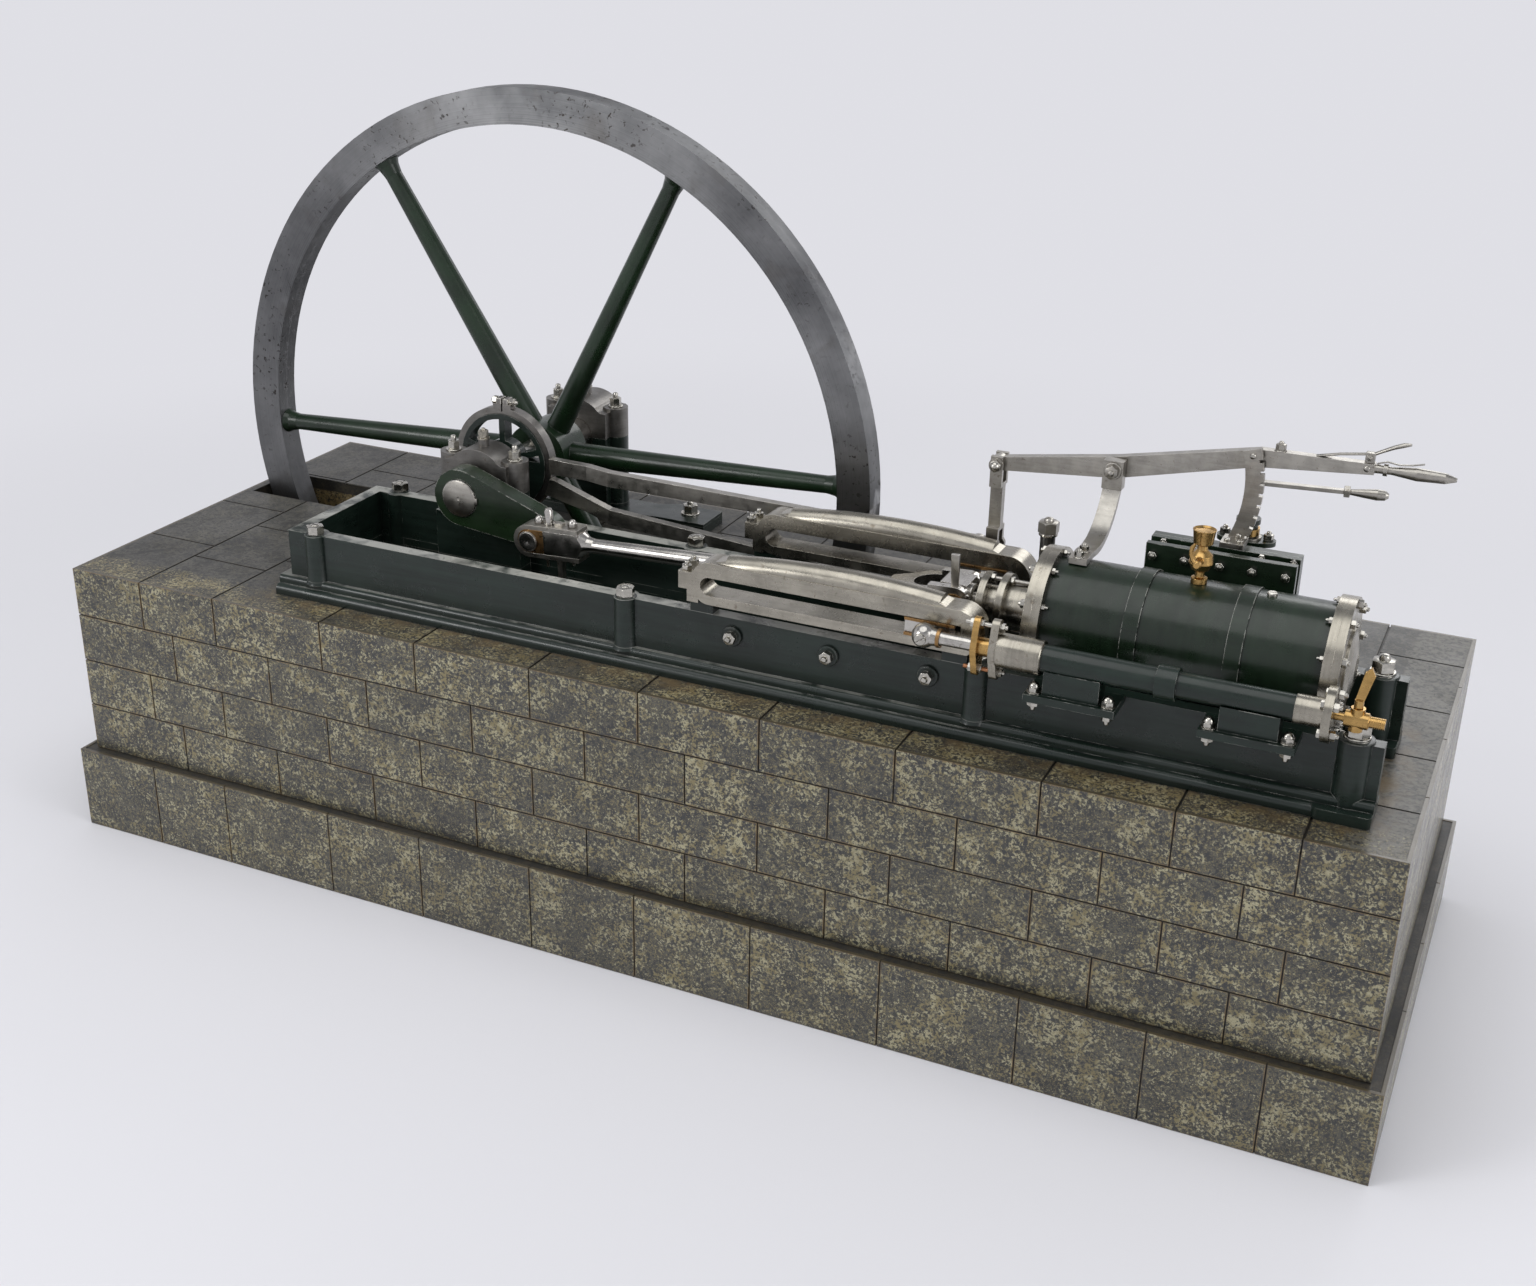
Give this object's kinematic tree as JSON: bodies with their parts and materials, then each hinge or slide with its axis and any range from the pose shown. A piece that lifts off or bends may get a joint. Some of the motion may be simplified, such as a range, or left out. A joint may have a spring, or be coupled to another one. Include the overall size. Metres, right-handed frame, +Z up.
{
  "type": "stationary steam engine",
  "caption": "Model horizontal steam engine with spoked flywheel, slide-bar guides, lagged cylinder and feed pump on a painted wooden plinth.",
  "frame": {"origin": "centre of the plinth's base, on the surface it stands on", "axes": "+X from the flywheel end to the cylinder end, +Y from the crank side to the flywheel side, +Z up"},
  "size_m": [1.1998, 0.442, 0.68],
  "materials": {
    "stone_paint": "sponged paint",
    "green_paint": "gloss",
    "bright_steel": "polished",
    "brass": "polished"
  },
  "bodies": {
    "engine_frame": {"bed_floor": "green_paint", "bed_front_rail": "green_paint", "bed_left_end": "green_paint", "bed_rear_rail": "green_paint", "chest_cover": "green_paint", "cover_left": "bright_steel", "cover_right": "bright_steel", "cylinder_bands": "green_paint", "cylinder_barrel": "green_paint", "cylinder_flanges": "bright_steel", "cylinder_saddle": "green_paint", "drain_cock": "brass", "guide_front": "bright_steel", "guide_rear": "bright_steel", "lever_bracket": "bright_steel", "lubricator": "brass", "main_bearing_cap": "bright_steel", "main_bearing_pedestal": "green_paint", "outer_bearing_cap": "bright_steel", "outer_bearing_foot": "green_paint", "outer_bearing_pedestal": "green_paint", "pit_end": "stone_paint", "pit_front": "stone_paint", "pit_rear": "stone_paint", "plinth_front": "stone_paint", "plinth_left": "stone_paint", "plinth_rear": "stone_paint", "plinth_right": "stone_paint", "plinth_top_end": "stone_paint", "plinth_top_front": "stone_paint", "plinth_top_rear": "stone_paint", "pump_barrel": "green_paint", "pump_ends": "bright_steel", "pump_feet": "green_paint", "pump_gland": "brass", "quadrant": "bright_steel", "stay_column": "bright_steel", "steam_chest": "green_paint", "stop_valve": "green_paint"},
    "crankshaft": {"crankshaft": "bright_steel", "crank_web": "green_paint", "flywheel_rim": "bright_steel", "flywheel_spokes": "green_paint", "eccentric_sheave": "green_paint"},
    "eccentric_rod": {"eccentric_strap": "bright_steel", "eccentric_rod": "bright_steel"},
    "crosshead": {"crosshead_block": "bright_steel", "gudgeon_pin": "bright_steel", "slide_blocks": "bright_steel", "slide_slippers": "brass", "piston_rod": "bright_steel", "pump_plunger": "bright_steel"},
    "connecting_rod": {"connecting_rod": "bright_steel", "big_end_strap": "bright_steel", "big_end_brasses": "brass", "crank_pin_head": "bright_steel"},
    "hand_lever": {"hand_lever": "bright_steel"},
    "lifting_link": {"lifting_link": "bright_steel"},
    "stop_valve_lever": {"stop_valve_lever": "bright_steel"},
    "drain_cock_key": {"drain_cock_key": "brass"}
  },
  "joints": [
    {"name": "crankshaft_turn", "type": "hinge", "parent": "engine_frame", "child": "crankshaft", "pos_m": [-0.24912, 0.05, 0.346], "axis": [0, 1, 0], "continuous": true},
    {"name": "eccentric_rod_turn", "type": "hinge", "parent": "crankshaft", "child": "eccentric_rod", "pos_m": [-0.24912, -0.006, 0.359], "axis": [0, 1, 0], "continuous": true},
    {"name": "crosshead_slide", "type": "slide", "parent": "engine_frame", "child": "crosshead", "axis": [1, 0, 0], "range_m": [-0.1651, 0.0026]},
    {"name": "connecting_rod_swing", "type": "hinge", "parent": "crosshead", "child": "connecting_rod", "pos_m": [0.22227, -0.096, 0.346], "axis": [0, 1, 0], "range_deg": [-0.1, 2.83]},
    {"name": "hand_lever_swing", "type": "hinge", "parent": "engine_frame", "child": "hand_lever", "pos_m": [0.31388, -0.006, 0.441], "axis": [0, 1, 0], "range_deg": [0, 33]},
    {"name": "lifting_link_swing", "type": "hinge", "parent": "hand_lever", "child": "lifting_link", "pos_m": [0.21788, -0.006, 0.429], "axis": [0, 1, 0], "range_deg": [-33, 0]},
    {"name": "stop_valve_turn", "type": "hinge", "parent": "engine_frame", "child": "stop_valve_lever", "pos_m": [0.41572, 0.016, 0.436], "axis": [0, 0, 1], "range_deg": [0, 90]},
    {"name": "drain_cock_turn", "type": "hinge", "parent": "engine_frame", "child": "drain_cock_key", "pos_m": [0.53688, -0.18, 0.36], "axis": [0, 0, 1], "range_deg": [0, 90]}
  ],
  "couplings": [
    {"joint": "eccentric_rod_turn", "follows": "crankshaft_turn", "ratio": -1},
    {"joint": "connecting_rod_swing", "follows": "crosshead_slide", "rad_per_m": -0.2936},
    {"joint": "lifting_link_swing", "follows": "hand_lever_swing", "ratio": -1}
  ]
}
